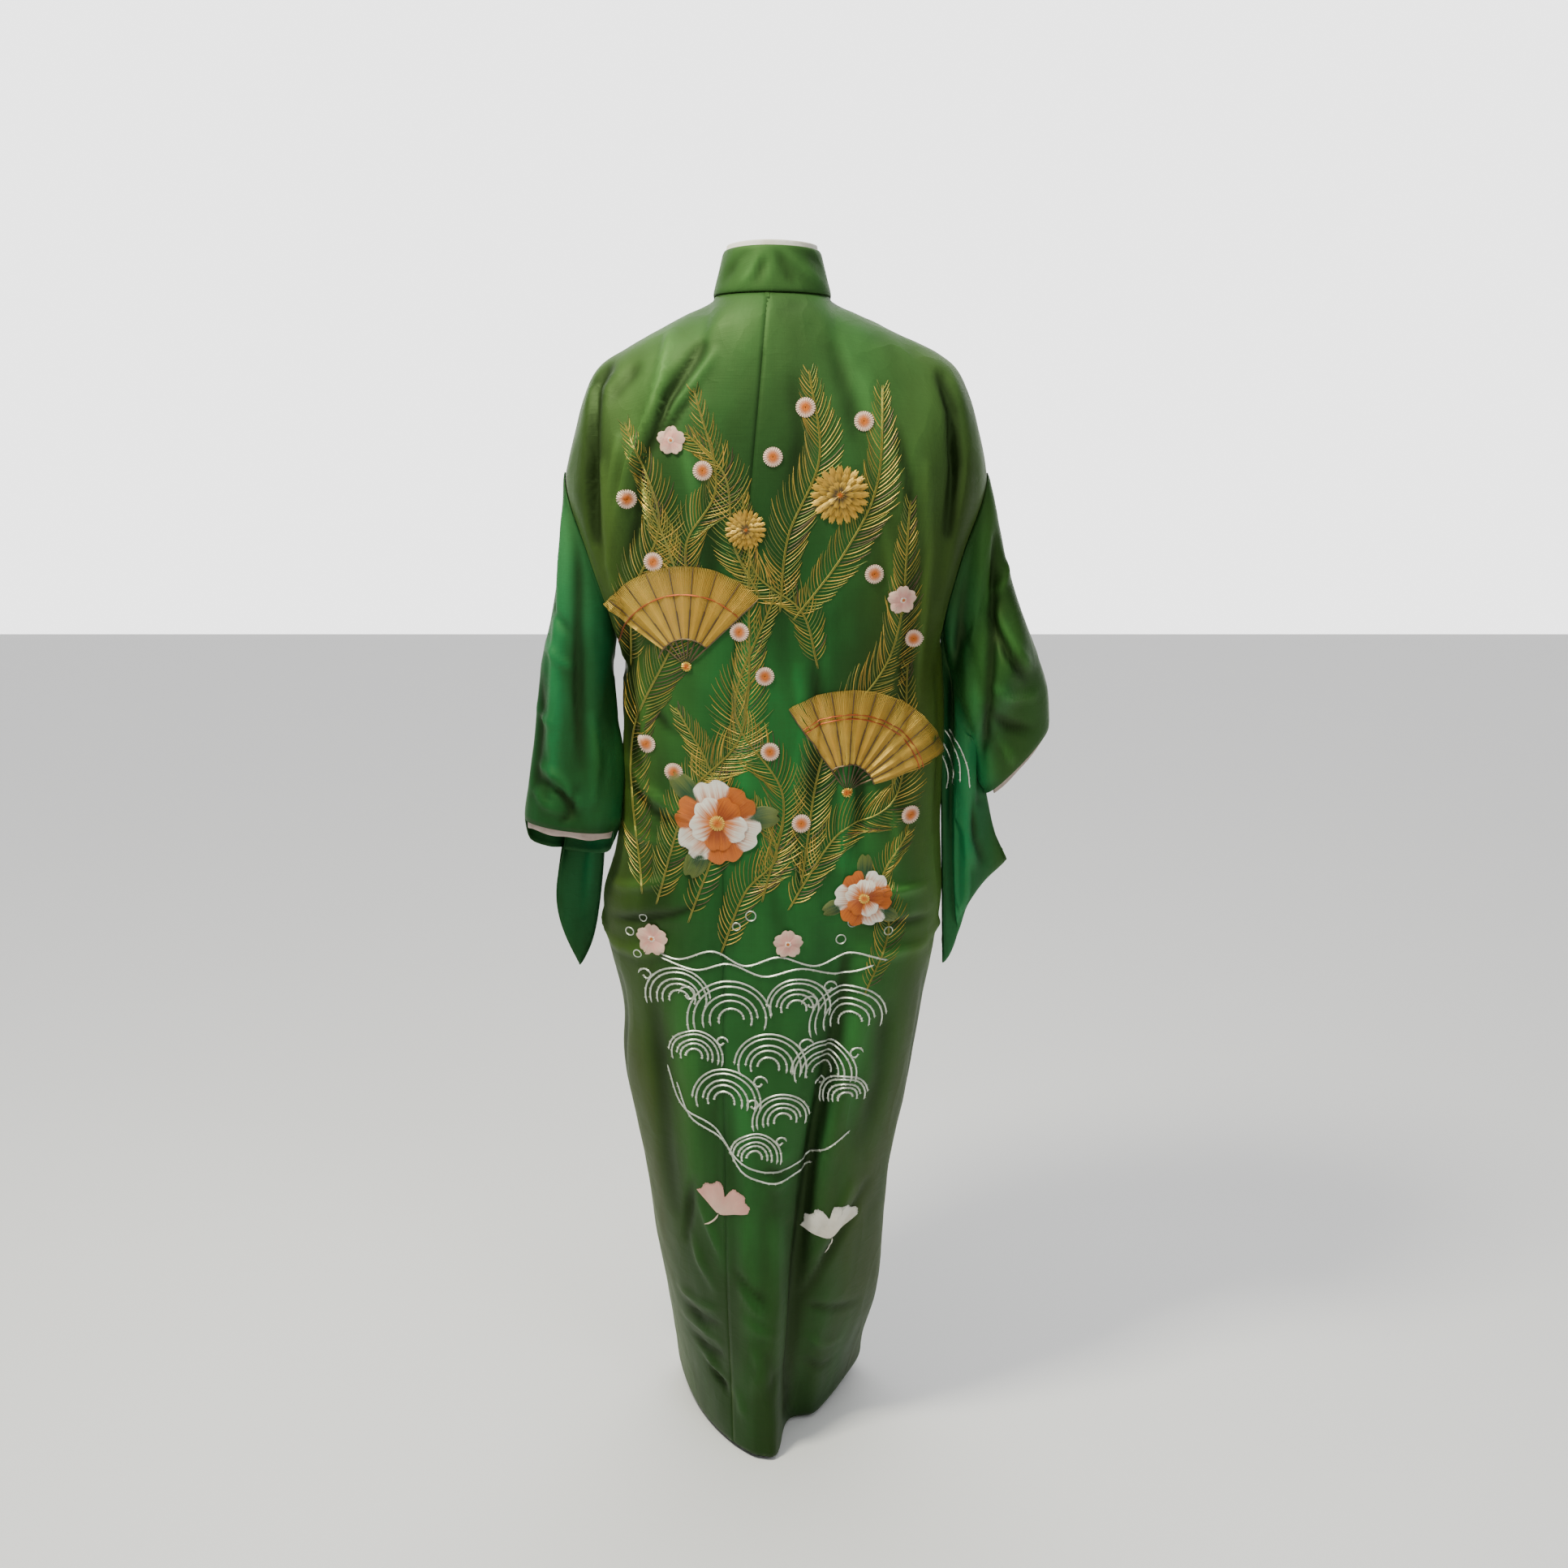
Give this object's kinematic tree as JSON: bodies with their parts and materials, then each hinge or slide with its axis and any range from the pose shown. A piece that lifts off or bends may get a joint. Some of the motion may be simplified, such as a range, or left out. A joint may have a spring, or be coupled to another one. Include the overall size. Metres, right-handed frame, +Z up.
{
  "type": "kimono",
  "caption": "Worn kimono with wrapped fronts, standing collar band and hanging sleeves, a hollow cloth form with open neck, cuffs and hem.",
  "frame": {"origin": "middle of the neck base, where the wearer's shoulders carry the garment, 1.48 m above the lowest point of the hem", "axes": "+Z up, the wearer faces -Y, the wearer's left is +X"},
  "size_m": [0.6682, 0.2712, 1.556],
  "materials": {
    "silk": "glossy green silk satin",
    "collar_silk": "glossy green silk satin, folded double",
    "pale_lining": "matt pale silk",
    "pink_lining": "matt pinkish silk",
    "gold_thread": "couched gold thread",
    "silver_thread": "couched silver thread",
    "coloured_floss": "satin-stitched silk floss in orange, pink, cream and olive"
  },
  "bodies": {
    "root": {"left_back": "silk", "left_front": "silk", "right_back": "silk", "right_front": "silk", "left_okumi": "silk", "right_okumi": "silk", "left_sleeve": "silk", "right_sleeve": "silk", "collar": "collar_silk", "collar_lining": "pale_lining", "left_cuff_lining": "pink_lining", "right_cuff_lining": "pink_lining"}
  },
  "joints": []
}
